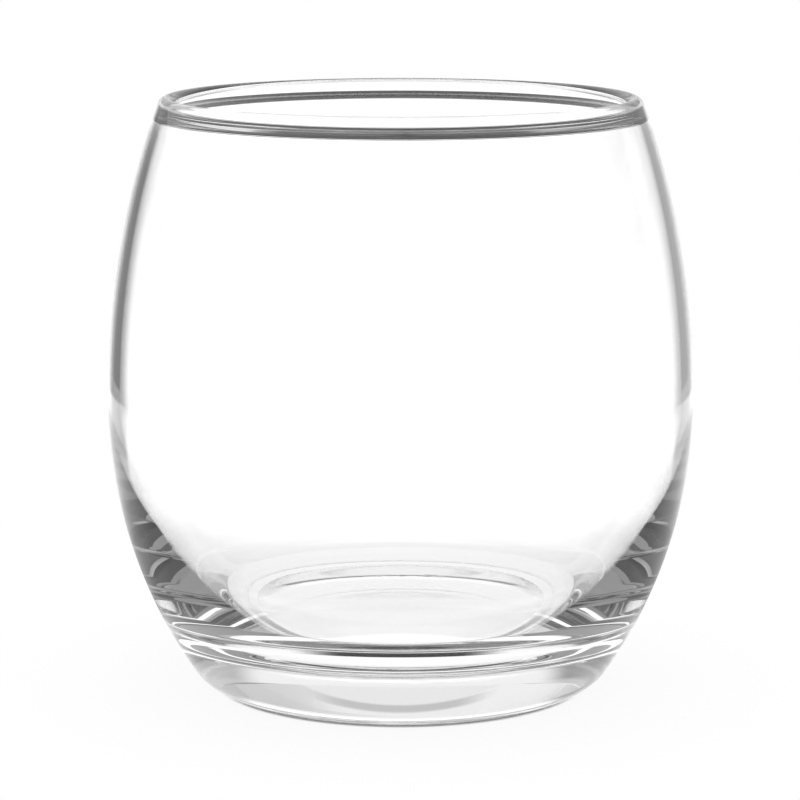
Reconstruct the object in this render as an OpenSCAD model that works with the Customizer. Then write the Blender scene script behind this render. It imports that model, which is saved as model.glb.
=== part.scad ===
// Stemless wine glass: an egg-shaped bowl on a thick floor, one piece of glass.
// Millimetres, +Z up, origin on the table under the middle of the foot.

/* [Bowl] */
// Height from the table to the top of the lip
glass_h = 91; // [84:0.5:100]
// Greatest diameter, at the belly
belly_d = 90; // [84:0.5:98]
// Height of the belly above the table
belly_h = 44.5; // [38:0.5:50]
// Radius of the long curve from the belly up to the lip
shoulder_r = 132; // [110:1:180]
// Radius of the curve from the belly down to the heel
flank_r = 75; // [66:1:90]

/* [Wall] */
// Thickness of the wall at the belly
belly_wall = 1.75; // [1.4:0.05:2.4]
// Thickness of the wall just under the lip
neck_wall = 1.5; // [1.2:0.05:2]
// Depth below the lip at which the neck wall is measured
neck_depth = 5; // [4:0.5:10]

/* [Lip] */
// Height of the fire-polished bead round the lip
bead_d = 2.6; // [2.2:0.1:3.2]
// Radius of the fillet that runs the bead into the inside wall
bead_fillet_r = 2; // [1:0.1:4]

/* [Hollow] */
// Radius of the inside curve from the belly down to the corner
hollow_r = 49; // [45:0.5:56]
// Radius of the corner between the inside wall and the floor
corner_r = 13; // [8:0.5:20]
// Height of the inside floor above the table, at the middle
floor_h = 9.2; // [7:0.1:12]
// Radius of the shallow dish of the inside floor
floor_r = 240; // [150:5:600]

/* [Foot] */
// Radius of the heel that rolls the outside into the foot
heel_r = 7; // [5:0.25:10]
// Width of the flat ring that the glass stands on
ring_w = 2; // [1:0.25:6]
// Height of the hollow under the floor, at the middle
punt_h = 1.2; // [0.6:0.1:2.4]

/* [Hidden] */

// Farthest that a straight facet of the outline strays from its true curve
facet_gap = 0.02;
// Sides of the turned solid
turned_sides = 180;

// Points along an arc, enough of them to keep within the facet gap
function arc_turn(r) = 2 * acos(1 - facet_gap / r);
function arc_count(r, from, to) = max(1, ceil(abs(to - from) / arc_turn(r)));
function on_circle(centre, r, angle) = centre + r * [cos(angle), sin(angle)];
function arc(centre, r, from, to) =
    let (count = arc_count(r, from, to))
    [for (i = [0:count]) on_circle(centre, r, from + (to - from) * i / count)];

// All points of an arc but the first, which the arc before it has already drawn
function arc_on(centre, r, from, to) =
    let (points = arc(centre, r, from, to))
    [for (i = [1:len(points) - 1]) points[i]];

// Direction from one point to another, and the same turned to count up from zero
function heading(from, to) = atan2(to.y - from.y, to.x - from.x);
function heading_up(from, to) = (heading(from, to) + 360) % 360;

// The place that lies r_a from a and r_b from b: right of the line from a to b
function crossing(a, r_a, b, r_b) =
    let (
        gap = norm(b - a),
        along = (r_a * r_a - r_b * r_b + gap * gap) / (2 * gap),
        off = sqrt(max(0, r_a * r_a - along * along)),
        dir = (b - a) / gap
    )
    a + dir * along + off * [dir.y, -dir.x];

// Outside of the bowl: two curves that meet upright at the belly
belly_r = belly_d / 2;
shoulder_c = [belly_r - shoulder_r, belly_h];
flank_c = [belly_r - flank_r, belly_h];

// The heel touches the table and the flank
heel_drop = belly_h - heel_r;
heel_c = [flank_c.x + sqrt(pow(flank_r - heel_r, 2) - pow(heel_drop, 2)), heel_r];
heel_end = heading(flank_c, heel_c);

// The bead touches the shoulder from inside and the plane of the lip
bead_r = bead_d / 2;
bead_z = glass_h - bead_r;
bead_rise = bead_z - belly_h;
bead_c = [shoulder_c.x + sqrt(pow(shoulder_r - bead_r, 2) - pow(bead_rise, 2)), bead_z];
bead_start = heading(shoulder_c, bead_c);
bead_top = 90;

// Inside wall above the belly, through both wall thicknesses
inner_r = belly_r - belly_wall;
neck_z = glass_h - neck_depth;
neck_rise = neck_z - belly_h;
neck_out = shoulder_c.x + sqrt(pow(shoulder_r, 2) - pow(neck_rise, 2));
neck_in = neck_out - neck_wall;
inner_draw = inner_r - neck_in;
inner_shoulder_r = (pow(neck_rise, 2) + pow(inner_draw, 2)) / (2 * inner_draw);
inner_shoulder_c = [inner_r - inner_shoulder_r, belly_h];

// The fillet touches the bead from outside and the inside wall from within
bead_fillet_c = crossing(inner_shoulder_c, inner_shoulder_r - bead_fillet_r,
                         bead_c, bead_r + bead_fillet_r);
bead_end = heading_up(bead_c, bead_fillet_c);
fillet_start = heading(bead_fillet_c, bead_c);
fillet_end = heading(inner_shoulder_c, bead_fillet_c);

// Inside below the belly: hollow curve, corner and dished floor, each touching the next
hollow_c = [inner_r - hollow_r, belly_h];
floor_c = [0, floor_h + floor_r];
corner_c = crossing(hollow_c, hollow_r - corner_r, floor_c, floor_r - corner_r);
hollow_end = heading(hollow_c, corner_c);
corner_end = heading(floor_c, corner_c);

// Underside: the flat ring and a domed hollow inside it
ring_out = heel_c.x;
ring_in = ring_out - ring_w;
punt_r = (pow(ring_in, 2) + pow(punt_h, 2)) / (2 * punt_h);
punt_c = [0, punt_h - punt_r];
punt_top = 90;
punt_edge = heading(punt_c, [ring_in, 0]);

// Right half of the section: under the foot, up the outside, over the lip, down the inside
section = concat(
    arc(punt_c, punt_r, punt_top, punt_edge),
    arc(heel_c, heel_r, -90, heel_end),
    arc_on(flank_c, flank_r, heel_end, 0),
    arc_on(shoulder_c, shoulder_r, 0, bead_start),
    arc_on(bead_c, bead_r, bead_start, bead_top),
    arc_on(bead_c, bead_r, bead_top, bead_end),
    arc_on(bead_fillet_c, bead_fillet_r, fillet_start, fillet_end),
    arc_on(inner_shoulder_c, inner_shoulder_r, fillet_end, 0),
    arc_on(hollow_c, hollow_r, 0, hollow_end),
    arc_on(corner_c, corner_r, hollow_end, corner_end),
    arc_on(floor_c, floor_r, corner_end, -90)
);

// The whole glass, turned in one piece
module tumbler() {
    color([0.9, 0.93, 0.94, 0.45])
        rotate_extrude($fn = turned_sides)
            polygon(section);
}

tumbler();
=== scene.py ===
# Stemless wine glass in clear glass, on a pale table with plain studio light
import bpy
from math import atan2, degrees, pi, radians, sqrt
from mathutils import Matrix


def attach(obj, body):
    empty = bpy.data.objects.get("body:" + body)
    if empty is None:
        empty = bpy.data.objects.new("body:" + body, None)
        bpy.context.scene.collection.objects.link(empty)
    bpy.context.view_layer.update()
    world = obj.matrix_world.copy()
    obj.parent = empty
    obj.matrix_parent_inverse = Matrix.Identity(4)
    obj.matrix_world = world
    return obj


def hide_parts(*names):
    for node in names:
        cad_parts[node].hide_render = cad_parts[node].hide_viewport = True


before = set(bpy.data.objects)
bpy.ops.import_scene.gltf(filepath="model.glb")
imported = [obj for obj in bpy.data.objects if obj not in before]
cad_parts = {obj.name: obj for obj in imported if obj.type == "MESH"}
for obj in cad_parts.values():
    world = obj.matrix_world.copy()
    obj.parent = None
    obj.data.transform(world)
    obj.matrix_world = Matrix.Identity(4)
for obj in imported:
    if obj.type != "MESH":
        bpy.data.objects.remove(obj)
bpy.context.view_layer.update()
mm = 0.001  # every size below is in millimetres, the scene is in metres


# Shader maths: a socket that takes part in Python expressions
class Signal:
    def __init__(self, tree, socket):
        self.tree = tree
        self.socket = socket

    def maths(self, operation, *others):
        return node(self.tree, "ShaderNodeMath", {"operation": operation}, [self, *others])

    def __add__(self, other):
        return self.maths("ADD", other)

    def __radd__(self, other):
        return self.maths("ADD", other)

    def __sub__(self, other):
        return self.maths("SUBTRACT", other)

    def __rsub__(self, other):
        return node(self.tree, "ShaderNodeMath", {"operation": "SUBTRACT"}, [other, self])

    def __mul__(self, other):
        return self.maths("MULTIPLY", other)

    def __rmul__(self, other):
        return self.maths("MULTIPLY", other)

    def highest(self, other):
        return self.maths("MAXIMUM", other)

    # For whole numbers
    def moreThan(self, count):
        return self.maths("GREATER_THAN", count + 0.5)

    # Low below start, high above end, eased between
    def ramp(self, start, end, low=0.0, high=1.0):
        values = [self, start, end, low, high]
        return node(self.tree, "ShaderNodeMapRange", {"interpolation_type": "SMOOTHSTEP"}, values)


# Any node: its settings are set first, then its sockets, by place or by name.
# Gives its first output, or the named one.
def node(tree, kind, settings=None, values=(), output=0):
    made = tree.nodes.new(kind)
    for name, value in (settings or {}).items():
        setattr(made, name, value)
    pairs = values.items() if isinstance(values, dict) else enumerate(values)
    for place, value in pairs:
        value = getattr(value, "socket", value)
        if isinstance(value, bpy.types.NodeSocket):
            tree.links.new(value, made.inputs[place])
        else:
            made.inputs[place].default_value = value
    return Signal(tree, made.outputs[output]) if made.outputs else None


def split(tree, vector):
    made = tree.nodes.new("ShaderNodeSeparateXYZ")
    tree.links.new(vector.socket, made.inputs[0])
    return [Signal(tree, o) for o in made.outputs]


# From one level to another by a mask; the levels may be numbers
def blend(level, other, mask):
    return level + mask * (other - level)


# A level that changes along a signal: each step is where it starts, where it ends and the new level
def stepped(signal, level, steps):
    for start, end, newLevel in steps:
        level = blend(level, newLevel, signal.ramp(start, end))
    return level


# The glass: the same sizes as the part's source
glass = {
    "height": 91.0,
    "bellyDiameter": 90.0,
    "bellyHeight": 44.5,
    "shoulderRadius": 132.0,
    "flankRadius": 75.0,
    "bellyWall": 1.75,
    "neckWall": 1.5,
    "neckDepth": 5.0,
    "beadDiameter": 2.6,
    "beadFillet": 2.0,
    "hollowRadius": 49.0,
    "cornerRadius": 13.0,
    "floorHeight": 9.2,
    "floorRadius": 240.0,
    "heelRadius": 7.0,
    "ringWidth": 2.0,
    "puntHeight": 1.2,
    "turnSteps": 256,  # sides of the turned piece
    "curveSteps": {  # straight parts of each curve in the outline
        "punt": 12, "heel": 22, "flank": 30, "shoulder": 24, "beadOutside": 18, "beadInside": 36,
        "fillet": 10, "innerShoulder": 24, "hollow": 36, "corner": 36, "floor": 14,
    },
    "mergeGap": 0.0005,  # points closer than this become one
}


def heading(start, end):
    return degrees(atan2(end[1] - start[1], end[0] - start[0]))


# The place that lies ra from a and rb from b, right of the line from a to b
def crossing(a, ra, b, rb):
    dx, dz = b[0] - a[0], b[1] - a[1]
    gap = sqrt(dx * dx + dz * dz)
    along = (ra * ra - rb * rb + gap * gap) / (2 * gap)
    off = sqrt(max(0.0, ra * ra - along * along))
    return (a[0] + (dx * along + dz * off) / gap, a[1] + (dz * along - dx * off) / gap)


# Sweeps the selected end of the outline round a centre, from one polar angle to another
def sweep(centre, start, end, steps):
    bpy.ops.mesh.spin(steps=steps, angle=radians(end - start),
                      center=(centre[0] * mm, 0, centre[1] * mm), axis=(0, 1, 0))


def turnedGlass(g):
    # outside: shoulder and flank meet at the belly, the heel rolls into the foot
    bellyR = g["bellyDiameter"] / 2
    bellyZ = g["bellyHeight"]
    shoulderR, flankR, heelR = g["shoulderRadius"], g["flankRadius"], g["heelRadius"]
    shoulder = (bellyR - shoulderR, bellyZ)
    flank = (bellyR - flankR, bellyZ)
    heel = (flank[0] + sqrt((flankR - heelR) ** 2 - (bellyZ - heelR) ** 2), heelR)
    heelEnd = heading(flank, heel)

    # lip: the bead touches the shoulder from inside
    beadR = g["beadDiameter"] / 2
    beadZ = g["height"] - beadR
    bead = (shoulder[0] + sqrt((shoulderR - beadR) ** 2 - (beadZ - bellyZ) ** 2), beadZ)
    beadStart = heading(shoulder, bead)

    # inside above the belly, through both wall thicknesses, and the fillet under the bead
    innerR = bellyR - g["bellyWall"]
    neckRise = g["height"] - g["neckDepth"] - bellyZ
    neckIn = shoulder[0] + sqrt(shoulderR ** 2 - neckRise ** 2) - g["neckWall"]
    draw = innerR - neckIn
    innerShoulderR = (neckRise ** 2 + draw ** 2) / (2 * draw)
    innerShoulder = (innerR - innerShoulderR, bellyZ)
    filletR = g["beadFillet"]
    fillet = crossing(innerShoulder, innerShoulderR - filletR, bead, beadR + filletR)
    beadEnd = heading(bead, fillet) % 360

    # inside below the belly: hollow, corner and dished floor
    hollowR, cornerR, floorR = g["hollowRadius"], g["cornerRadius"], g["floorRadius"]
    hollow = (innerR - hollowR, bellyZ)
    floor = (0.0, g["floorHeight"] + floorR)
    corner = crossing(hollow, hollowR - cornerR, floor, floorR - cornerR)
    hollowEnd = heading(hollow, corner)
    cornerEnd = heading(floor, corner)

    # underside: the flat ring and the domed hollow inside it
    ringIn = heel[0] - g["ringWidth"]
    puntR = (ringIn ** 2 + g["puntHeight"] ** 2) / (2 * g["puntHeight"])
    punt = (0.0, g["puntHeight"] - puntR)

    # a small plane, merged into one corner, is the start of the outline
    bpy.ops.mesh.primitive_plane_add(size=mm, location=(0, 0, g["puntHeight"] * mm))
    piece = bpy.context.object
    piece.name = "glass_tumbler"
    bpy.ops.object.mode_set(mode="EDIT")
    bpy.ops.mesh.merge(type="CENTER")

    # under the foot, up the outside, over the lip, down the inside and along the floor
    steps = g["curveSteps"]
    sweep(punt, 90, heading(punt, (ringIn, 0)), steps["punt"])
    bpy.ops.mesh.extrude_region_move(TRANSFORM_OT_translate={"value": (g["ringWidth"] * mm, 0, 0)})
    sweep(heel, -90, heelEnd, steps["heel"])
    sweep(flank, heelEnd, 0, steps["flank"])
    sweep(shoulder, 0, beadStart, steps["shoulder"])
    sweep(bead, beadStart, 90, steps["beadOutside"])
    sweep(bead, 90, beadEnd, steps["beadInside"])
    sweep(fillet, heading(fillet, bead), heading(innerShoulder, fillet), steps["fillet"])
    sweep(innerShoulder, heading(innerShoulder, fillet), 0, steps["innerShoulder"])
    sweep(hollow, 0, hollowEnd, steps["hollow"])
    sweep(corner, hollowEnd, cornerEnd, steps["corner"])
    sweep(floor, cornerEnd, -90, steps["floor"])

    # the outline is turned round the axis, then closed
    bpy.ops.mesh.select_all(action="SELECT")
    bpy.ops.mesh.spin(steps=g["turnSteps"], angle=2 * pi, center=(0, 0, 0), axis=(0, 0, 1))
    bpy.ops.mesh.select_all(action="SELECT")
    bpy.ops.mesh.remove_doubles(threshold=g["mergeGap"] * mm)
    bpy.ops.mesh.normals_make_consistent(inside=False)
    bpy.ops.object.mode_set(mode="OBJECT")
    bpy.ops.object.shade_smooth()
    bpy.ops.object.transform_apply(location=True, rotation=True, scale=True)
    return piece


def bareMaterial(name):
    material = bpy.data.materials.new(name)
    material.use_nodes = True
    material.node_tree.nodes.clear()
    return material, material.node_tree


# How moulded glass really is: not quite even, with chill marks where the plunger met the floor,
# and a foot that is cloudy and scuffed from the tables that it has stood on
glassFinish = {
    "ior": 1.52,
    "clear": (0.992, 0.993, 0.992, 1),
    "cloudy": (0.978, 0.98, 0.979, 1),
    "waveNoise": (26.0, 1.0),  # length and detail
    "waveHeight": 0.006,
    "chillNoise": (5.0, 3.0, 1.5),  # length, detail and warp
    "chillSpots": (0.45, 0.7),  # no mark where the noise is under the first, full over the second
    "chillRadius": (9.0, 20.0),  # full inside the first, gone outside the second
    "chillAbove": (4.0, 6.0),  # heights between which they start, which keeps the underside plain
    "chillHeight": 0.014,
    "scuffNoise": (1.1, 4.0),
    "scuffSpots": (0.35, 0.65),
    "scuffRoughness": 0.22,
    "footHeights": (0.02, 0.25),  # heights between which scuffs and cloudiness end
}


def clearGlass(f):
    material, tree = bareMaterial("clearGlass")
    place = node(tree, "ShaderNodeTexCoord", output="Object")
    x, y, z = split(tree, place)
    away = (x * x + y * y).maths("SQRT") * (1 / mm)
    height = z * (1 / mm)

    def noise(length, detail, warp=0.0):
        values = {"Vector": place, "Scale": 1 / (length * mm), "Detail": detail, "Distortion": warp}
        return node(tree, "ShaderNodeTexNoise", None, values)

    waves = noise(*f["waveNoise"]) * f["waveHeight"]
    chilled = away.ramp(*f["chillRadius"], 1, 0) * height.ramp(*f["chillAbove"])
    marks = chilled * noise(*f["chillNoise"]).ramp(*f["chillSpots"]) * f["chillHeight"]
    heights = {"Strength": 1.0, "Distance": mm, "Height": waves + marks}
    foot = height.ramp(*f["footHeights"], 1, 0)
    scuffs = foot * noise(*f["scuffNoise"]).ramp(*f["scuffSpots"]) * f["scuffRoughness"]
    colours = {0: foot, 6: f["clear"], 7: f["cloudy"]}
    shader = node(tree, "ShaderNodeBsdfPrincipled", None, {
        "Base Color": node(tree, "ShaderNodeMix", {"data_type": "RGBA"}, colours, 2),
        "Roughness": scuffs,
        "IOR": f["ior"],
        "Transmission Weight": 1.0,
        "Normal": node(tree, "ShaderNodeBump", None, heights),
    })
    node(tree, "ShaderNodeOutputMaterial", None, {"Surface": shader})
    return material


bpy.ops.object.select_all(action="DESELECT")
tumbler = turnedGlass(glass)
tumbler.data.materials.append(clearGlass(glassFinish))
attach(tumbler, "root")
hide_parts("tumbler")
print("glass turned:", len(tumbler.data.polygons), "faces")

# Camera: where the photograph was taken from, measured from the middle of the foot
view = {
    "back": 500.0,
    "up": 132.0,
    "pitchDown": 9.97,
    "lens": 148.0,
    "sensor": 36.0,
    "aside": -0.1,
}
camera = bpy.data.cameras.new("camera")
camera.lens = view["lens"]
camera.sensor_width = view["sensor"]
cameraObject = bpy.data.objects.new("camera", camera)
bpy.context.scene.collection.objects.link(cameraObject)
cameraObject.location = (view["aside"] * mm, -view["back"] * mm, view["up"] * mm)
cameraObject.rotation_euler = (radians(90 - view["pitchDown"]), 0, 0)
bpy.context.scene.camera = cameraObject
print("camera placed")

# Studio: a pale table in a plain white world. Light that has met the glass also sees a white
# backdrop behind, dark flags beside it, a dim room beyond them, a black card round the lip and
# softboxes overhead, and how it sees them depends on how often it has turned inside. Levels are
# plain, and 1 is white. Angles are from straight behind, plus to the right. The pieces below
# share these values.
studio = {
    "radius": 300.0,
    "backdropLevel": 1.22,  # over white, for what the glass's surfaces lose
    "flagFrom": (22.0, 32.0),  # angles between which the flags start, on both sides
    "leftFlag": (0.22, 0.5),  # low down, high up
    "rightFlag": (0.42, 0.5),
    "roomFrom": (50.0, 56.0),  # angles between which the flags end and the room starts
    "sky": (-10.0, 35.0, 0.92, 0.6),  # angles between which it darkens, and its levels
    # all round, in light that has turned more than four times: the level straight behind, then
    # the angles between which it changes and its new level, with the dark round the camera last
    "deepBehind": 0.15,
    "deepSteps": ((15.0, 30.0, 0.27), (90.0, 110.0, 0.42), (158.0, 168.0, 0.05)),
    "spentLevel": 0.08,  # the same, and the table, after more than twelve turns
    "bounces": 48,  # light turns many times inside thick glass
}
pureWhite = (1, 1, 1, 1)
turnCounts = {"often": 2, "deep": 4, "spent": 12}  # each has turned more times than this


# Masks, each for one sort of light: all that has met the glass, what of it has turned inside, at
# all or more times than its count, what goes straight through, what has met one wall at most,
# and what the camera sees, plainly or in the glass
def raySorts(tree, *wanted):
    path = tree.nodes.new("ShaderNodeLightPath")

    def read(name):
        return Signal(tree, path.outputs[name])

    turns, surfaces = read("Glossy Depth"), read("Transmission Depth")
    glassy = read("Is Glossy Ray").highest(read("Is Transmission Ray"))
    turned = glassy * turns.moreThan(0) * surfaces.moreThan(0)
    unturned = glassy * (1 - turned)
    sorts = {
        "glassy": glassy,
        "turned": turned,
        "straight": unturned * surfaces.moreThan(0),
        "oneWall": unturned * (1 - surfaces.moreThan(2)),
        "seen": glassy.highest(read("Is Camera Ray")),
    }
    for name, count in turnCounts.items():
        sorts[name] = turned * turns.moreThan(count)
    return [sorts[name] for name in wanted]


# Distance from the axis, height, angle from straight behind, and the same on either side
def placeRound(tree):
    x, y, z = split(tree, node(tree, "ShaderNodeTexCoord", output="Object"))
    away = (x * x + y * y).maths("SQRT") * (1 / mm)
    around = x.maths("ARCTAN2", y) * (180 / pi)
    return away, z * (1 / mm), around, around.maths("ABSOLUTE")


# By the angle: what is straight behind, then the flags, then the room
def levelAround(s, around, behind, left, right, room):
    flag = blend(left, right, around.maths("GREATER_THAN", 0))
    steps = ((*s["flagFrom"], flag), (*s["roomFrom"], room))
    return stepped(around.maths("ABSOLUTE"), behind, steps)


# The same for light that has turned many times
def deepAround(s, off, spent):
    return blend(stepped(off, s["deepBehind"], s["deepSteps"]), s["spentLevel"], spent)


def glow(tree, level):
    return node(tree, "ShaderNodeEmission", None, {"Color": pureWhite, "Strength": level})


# One shader where the mask is 0, and the other where it is 1
def endMaterial(tree, mask, plain, masked):
    mixed = node(tree, "ShaderNodeMixShader", None, [mask, plain, masked])
    node(tree, "ShaderNodeOutputMaterial", None, {"Surface": mixed})


# Table: pale, with painted shade where the glass shows it darker. Distances are from the axis. A
# ring gives the distances where it starts, is full, thins out and ends, and how dark it is if not
# black.
table = {
    "sides": 96,
    "inset": 180.0,  # from the rim to the edge that is cut into it
    "colour": (0.92, 0.92, 0.92, 1),
    "lift": (0.92, 0.96),  # share of its white that needs no light: seen plainly, in the glass
    "level": 1.07,  # near the glass, seen in it
    "fade": (30.0, 70.0),  # distances between which it goes over to the backdrop's plain white
    "turnedFlagShade": (60.0, 160.0),  # distances between which the flags' painted shade comes to darken it
    "flagShade": (205.0, 245.0),  # the same in light that has not turned
    "oneWallFlagShade": (284.0, 299.0),
    "beadShadowRing": (45.0, 60.0, 60.0, 170.0, 0.6),  # painted shadow of the glass behind it, darker in light that has met one wall at most
    "deepShadeLevel": 0.25,  # painted shade, in light that has turned more than four times
    "underGlassShade": (43.0, 47.0),  # painted shade under the glass: inside this, in light that has turned more than twice as well
    "shadowRing": (37.0, 41.0, 58.0, 82.0),  # the glass's shadow, at the sides and the front
    "shadowFrom": (65.0, 95.0),  # angles between which it starts
    "heelRing": (27.2, 27.8, 30.5, 32.0),  # the heel's shadow, at the front
    "heelFrom": (138.0, 160.0),
    "deepShadowRing": (28.0, 30.0, 46.0, 90.0, 0.9),  # painted shadow, in light that has turned more than four times
    "plainRing": (25.4, 26.4, 28.4, 29.4),  # where all its white needs light, at the front
    "plainFrom": (100.0, 130.0),
}


def ringShadow(away, start, full, thin, end, dark=1.0):
    return away.ramp(start, full) * away.ramp(thin, end, dark, 0)


def tableTop(s, t):
    bpy.ops.object.select_all(action="DESELECT")
    bpy.ops.mesh.primitive_circle_add(vertices=t["sides"], radius=s["radius"] * mm,
                                      fill_type="NGON")
    top = bpy.context.object
    top.name = "table_top"
    bpy.ops.object.mode_set(mode="EDIT")
    bpy.ops.mesh.select_all(action="SELECT")
    bpy.ops.mesh.inset(thickness=t["inset"] * mm)
    bpy.ops.object.mode_set(mode="OBJECT")
    material, tree = bareMaterial("paleTable")
    away, height, around, off = placeRound(tree)
    glassy, turned, often, deep = raySorts(tree, "glassy", "turned", "often", "deep")
    spent, oneWall, seen = raySorts(tree, "spent", "oneWall", "seen")
    white = s["backdropLevel"]
    fade = away.ramp(*t["fade"])

    # how much of the white needs no light
    plain = (1 - turned) * off.ramp(*t["plainFrom"]) * ringShadow(away, *t["plainRing"])
    share = blend(blend(*t["lift"], glassy), 1, fade) * (1 - plain)

    # how white it is, with painted shade seen in the glass
    level = blend(1, blend(t["level"], white, fade), glassy)
    # painted shade: the flags' shadow darkens the table, seen in the glass
    flagShadeLevel = levelAround(s, around, white, s["leftFlag"][0], s["rightFlag"][0], white)
    keys = ("turnedFlagShade", "flagShade", "oneWallFlagShade")
    near, far, farthest = [away.ramp(*t[key]) for key in keys]
    flagShade = blend(blend(far, farthest, oneWall), near, turned) * (1 - often)
    level = level + glassy * flagShade * (flagShadeLevel - white)
    # painted shade: the table darker under the glass and in light that has turned many times
    shadeUnder = often * away.ramp(*t["underGlassShade"], 1, 0)
    level = blend(level, t["deepShadeLevel"], deep.highest(shadeUnder))
    level = blend(level, s["spentLevel"], spent)
    # painted shadow of the glass on the table behind it, seen through the lip
    level = level * (1 - oneWall * ringShadow(away, *t["beadShadowRing"]))

    # shadows seen in light that has turned
    heel = off.ramp(*t["heelFrom"]) * ringShadow(away, *t["heelRing"])
    shadow = off.ramp(*t["shadowFrom"]) * ringShadow(away, *t["shadowRing"])
    shadow = turned * shadow.highest(heel)
    shadow = shadow.highest(deep * ringShadow(away, *t["deepShadowRing"]))

    pale = node(tree, "ShaderNodeBsdfDiffuse", None, {"Color": t["colour"]})
    endMaterial(tree, (share * seen).highest(shadow), pale, glow(tree, level * (1 - shadow)))
    top.data.materials.append(material)
    print("table laid")


# An open ring that stands round the glass. It is seen only in the glass and throws no shadow.
def standRing(name, radius, foot, top, sides):
    bpy.ops.object.select_all(action="DESELECT")
    bpy.ops.mesh.primitive_cylinder_add(vertices=sides, radius=radius * mm,
                                        depth=(top - foot) * mm, end_fill_type="NOTHING",
                                        location=(0, 0, (top + foot) / 2 * mm))
    ring = bpy.context.object
    ring.name = name
    bpy.ops.object.transform_apply(location=True, rotation=True, scale=True)
    ring.visible_camera = False
    ring.visible_diffuse = False
    ring.visible_shadow = False
    return ring


# Backdrop: white behind, then the flags and the room, and above them a grey strip that is seen
# only in light that hasn't turned. Heights are from the table.
backdrop = {
    "top": (127.0, 128.0),  # heights between which the strip takes over
    "straightFade": (80.0, 105.0, 0.69),  # heights between which it fades, what share is left
    "turnedFade": (38.0, 52.0, 0.74),
    "flagHeights": (88.0, 108.0),  # heights between which the flags change
    "room": (88.0, 110.0, 0.42, 0.7),  # heights between which the room changes, and its levels
    "roomFront": (95.0, 135.0, 0.45),  # angles between which its front starts, and its level
    "roomFoot": (24.0, 40.0),  # heights between which the pale table runs up into it
    "strip": ((128.0, 132.0, 0.55), (139.0, 145.0, 0.9)),  # heights between which it changes
    "stripEnd": (8.0, 17.0),  # angles between which it ends
    "stripTop": 160.0,
    "sides": 128,
}


def backdropRing(s, b):
    ring = standRing("backdrop_ring", s["radius"], 0, b["stripTop"], b["sides"])
    material, tree = bareMaterial("whiteBackdrop")
    away, height, around, off = placeRound(tree)
    turned, deep, spent = raySorts(tree, "turned", "deep", "spent")
    white = s["backdropLevel"]
    straight, bent = [stepped(height, 1, [b[fade]]) for fade in ("straightFade", "turnedFade")]
    behind = white * blend(straight, bent, turned)
    left, right = [height.ramp(*b["flagHeights"], *s[flag]) for flag in ("leftFlag", "rightFlag")]
    room = stepped(off, height.ramp(*b["room"]), [b["roomFront"]])
    room = blend(room, white, height.ramp(*b["roomFoot"], 1, 0))
    room = blend(behind, room, turned)
    level = levelAround(s, around, behind, left, right, room)
    level = blend(level, deepAround(s, off, spent), deep)
    strip = stepped(height, white * b["straightFade"][2], b["strip"])
    strip = blend(strip, around.ramp(*s["sky"]), off.ramp(*b["stripEnd"]))
    over = height.ramp(*b["top"])
    clear = node(tree, "ShaderNodeBsdfTransparent")
    endMaterial(tree, over * turned, glow(tree, blend(level, strip, over)), clear)
    ring.data.materials.append(material)
    print("backdrop hung")


# The black card round the glass that draws its lip, in light that goes straight through
blackCard = {
    "radius": 80.0,
    "foot": 88.5,
    "footFull": 92.5,  # height at which its soft lower edge is full
    "top": 165.0,
    "level": 0.07,
    "sides": 128,
}


def lipCard(c):
    card = standRing("lip_card", c["radius"], c["foot"], c["top"], c["sides"])
    material, tree = bareMaterial("blackCard")
    away, height, around, off = placeRound(tree)
    straight = raySorts(tree, "straight")[0]
    edge = height.ramp(c["foot"], c["footFull"])
    clear = node(tree, "ShaderNodeBsdfTransparent")
    endMaterial(tree, straight * edge, clear, glow(tree, c["level"]))
    card.data.materials.append(material)
    print("lip card hung")


# Overhead: plain white, and in light that has turned, a dark room with a ceiling and two
# softboxes. Angles up are from the horizon. A softbox gives each of its sides as the angles
# between which it is soft.
overhead = {
    "backBox": {"left": (-24.0, -16.0), "right": (16.0, 24.0), "foot": (44.0, 46.0),
                "top": (73.0, 83.0), "level": 1.0},
    "leftBox": {"left": (-86.0, -78.0), "right": (-32.0, -24.0), "foot": (8.0, 12.0),
                "top": (48.0, 56.0), "level": 0.78},
    "dark": 0.07,
    "ceiling": (50.0, 60.0, 0.45, 0.12),  # angles up between which it changes, and its levels
    "ceilingFrom": (20.0, 55.0),  # angles between which it starts
    "deepTop": (50.0, 57.0, 1.0),  # angles up and level after more than four turns
}


def softbox(around, up, box):
    across = around.ramp(*box["left"]) * around.ramp(*box["right"], 1, 0)
    return across * up.ramp(*box["foot"]) * up.ramp(*box["top"], box["level"], 0)


def studioWorld(s, o):
    world = bpy.data.worlds.new("studio")
    bpy.context.scene.world = world
    world.use_nodes = True
    tree = world.node_tree
    tree.nodes.clear()
    x, y, z = split(tree, node(tree, "ShaderNodeTexCoord", output="Generated"))
    up = z.maths("ARCSINE") * (180 / pi)
    around = x.maths("ARCTAN2", y) * (180 / pi)
    off = around.maths("ABSOLUTE")
    glassy, turned, deep, spent = raySorts(tree, "glassy", "turned", "deep", "spent")
    inside = blend(o["dark"], up.ramp(*o["ceiling"]), off.ramp(*o["ceilingFrom"]))
    for box in ("backBox", "leftBox"):
        inside = inside.highest(softbox(around, up, o[box]))
    late = stepped(up, deepAround(s, off, spent), [o["deepTop"]])
    inside = blend(inside, late, deep)
    strength = blend(1, blend(around.ramp(*s["sky"]), inside, turned), glassy)
    light = {"Color": pureWhite, "Strength": strength}
    background = node(tree, "ShaderNodeBackground", None, light)
    node(tree, "ShaderNodeOutputWorld", None, {"Surface": background})
    print("world lit")


tableTop(studio, table)
backdropRing(studio, backdrop)
lipCard(blackCard)
studioWorld(studio, overhead)
bpy.context.scene.view_settings.view_transform = "Standard"
for limit in ("max_bounces", "glossy_bounces", "transmission_bounces"):
    setattr(bpy.context.scene.cycles, limit, studio["bounces"])
